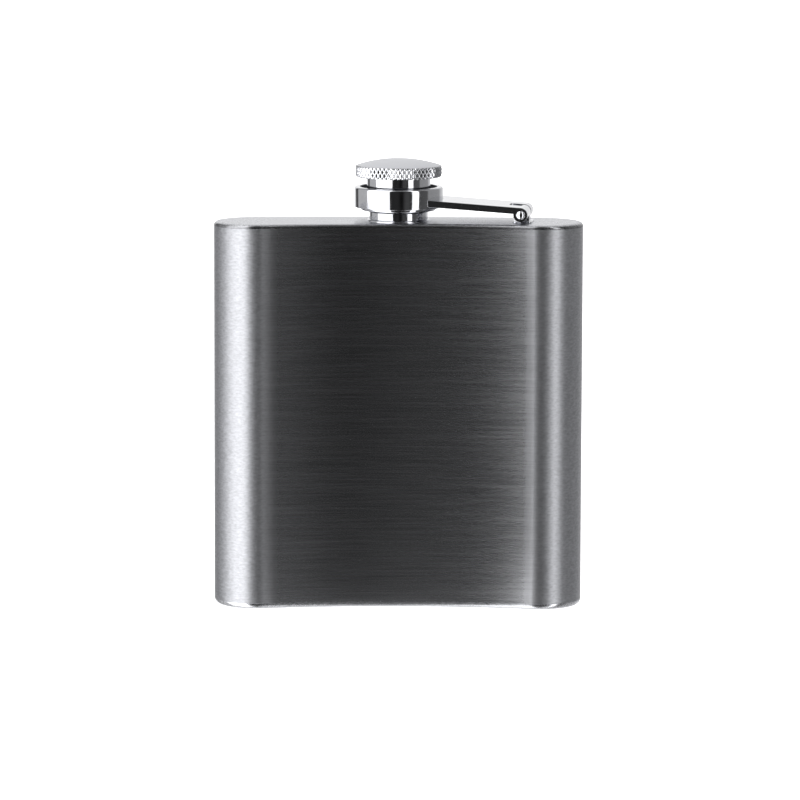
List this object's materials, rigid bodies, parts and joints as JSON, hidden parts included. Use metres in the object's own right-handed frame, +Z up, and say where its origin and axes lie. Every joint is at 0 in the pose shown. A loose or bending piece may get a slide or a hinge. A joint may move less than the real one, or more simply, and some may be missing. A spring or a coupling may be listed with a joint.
{
  "type": "hip flask",
  "caption": "Flat kidney-shaped steel hip flask with a knurled screw cap held captive in a collar on a hinged arm.",
  "frame": {"origin": "middle of the base, on the flat face that the flask stands on", "axes": "+Z up to the cap, -Y towards the hollow side that lies against the hip, +X towards the side that carries the hinge"},
  "size_m": [0.094, 0.0246, 0.1143],
  "materials": {
    "brushed_steel": "stainless steel sheet, brushed across with fine horizontal lines",
    "polished_steel": "stainless steel, turned and mirror polished",
    "satin_steel": "stainless steel, satin dome over a bright diamond-knurled rim",
    "seal_plastic": "soft off-white sealing plastic, matt"
  },
  "bodies": {
    "flask": {"body_wrap": "brushed_steel", "top_plate": "brushed_steel", "bottom_plate": "brushed_steel", "neck": "polished_steel", "neck_base_ring": "polished_steel", "hinge_bracket": "polished_steel"},
    "arm": {"arm": "polished_steel", "hinge_pin": "polished_steel", "collar": "polished_steel", "collar_washer": "polished_steel"},
    "seal": {"seal_disc": "seal_plastic"},
    "cap": {"cap_head": "satin_steel", "cap_sleeve": "polished_steel"}
  },
  "joints": [
    {"name": "arm_hinge", "type": "hinge", "parent": "flask", "child": "arm", "pos_m": [0.0317, -0.0022, 0.101], "axis": [0.1236, 0.9923, 0], "range_deg": [0, 175]},
    {"name": "cap_lift", "type": "slide", "parent": "arm", "child": "seal", "axis": [0, 0, 1], "range_m": [0, 0.003]},
    {"name": "cap_turn", "type": "hinge", "parent": "seal", "child": "cap", "pos_m": [0, 0.00175, 0.1095], "axis": [0, 0, 1], "range_deg": [0, 720]}
  ],
  "couplings": [
    {"joint": "cap_lift", "follows": "cap_turn", "m_per_rad": 0.0002387}
  ]
}
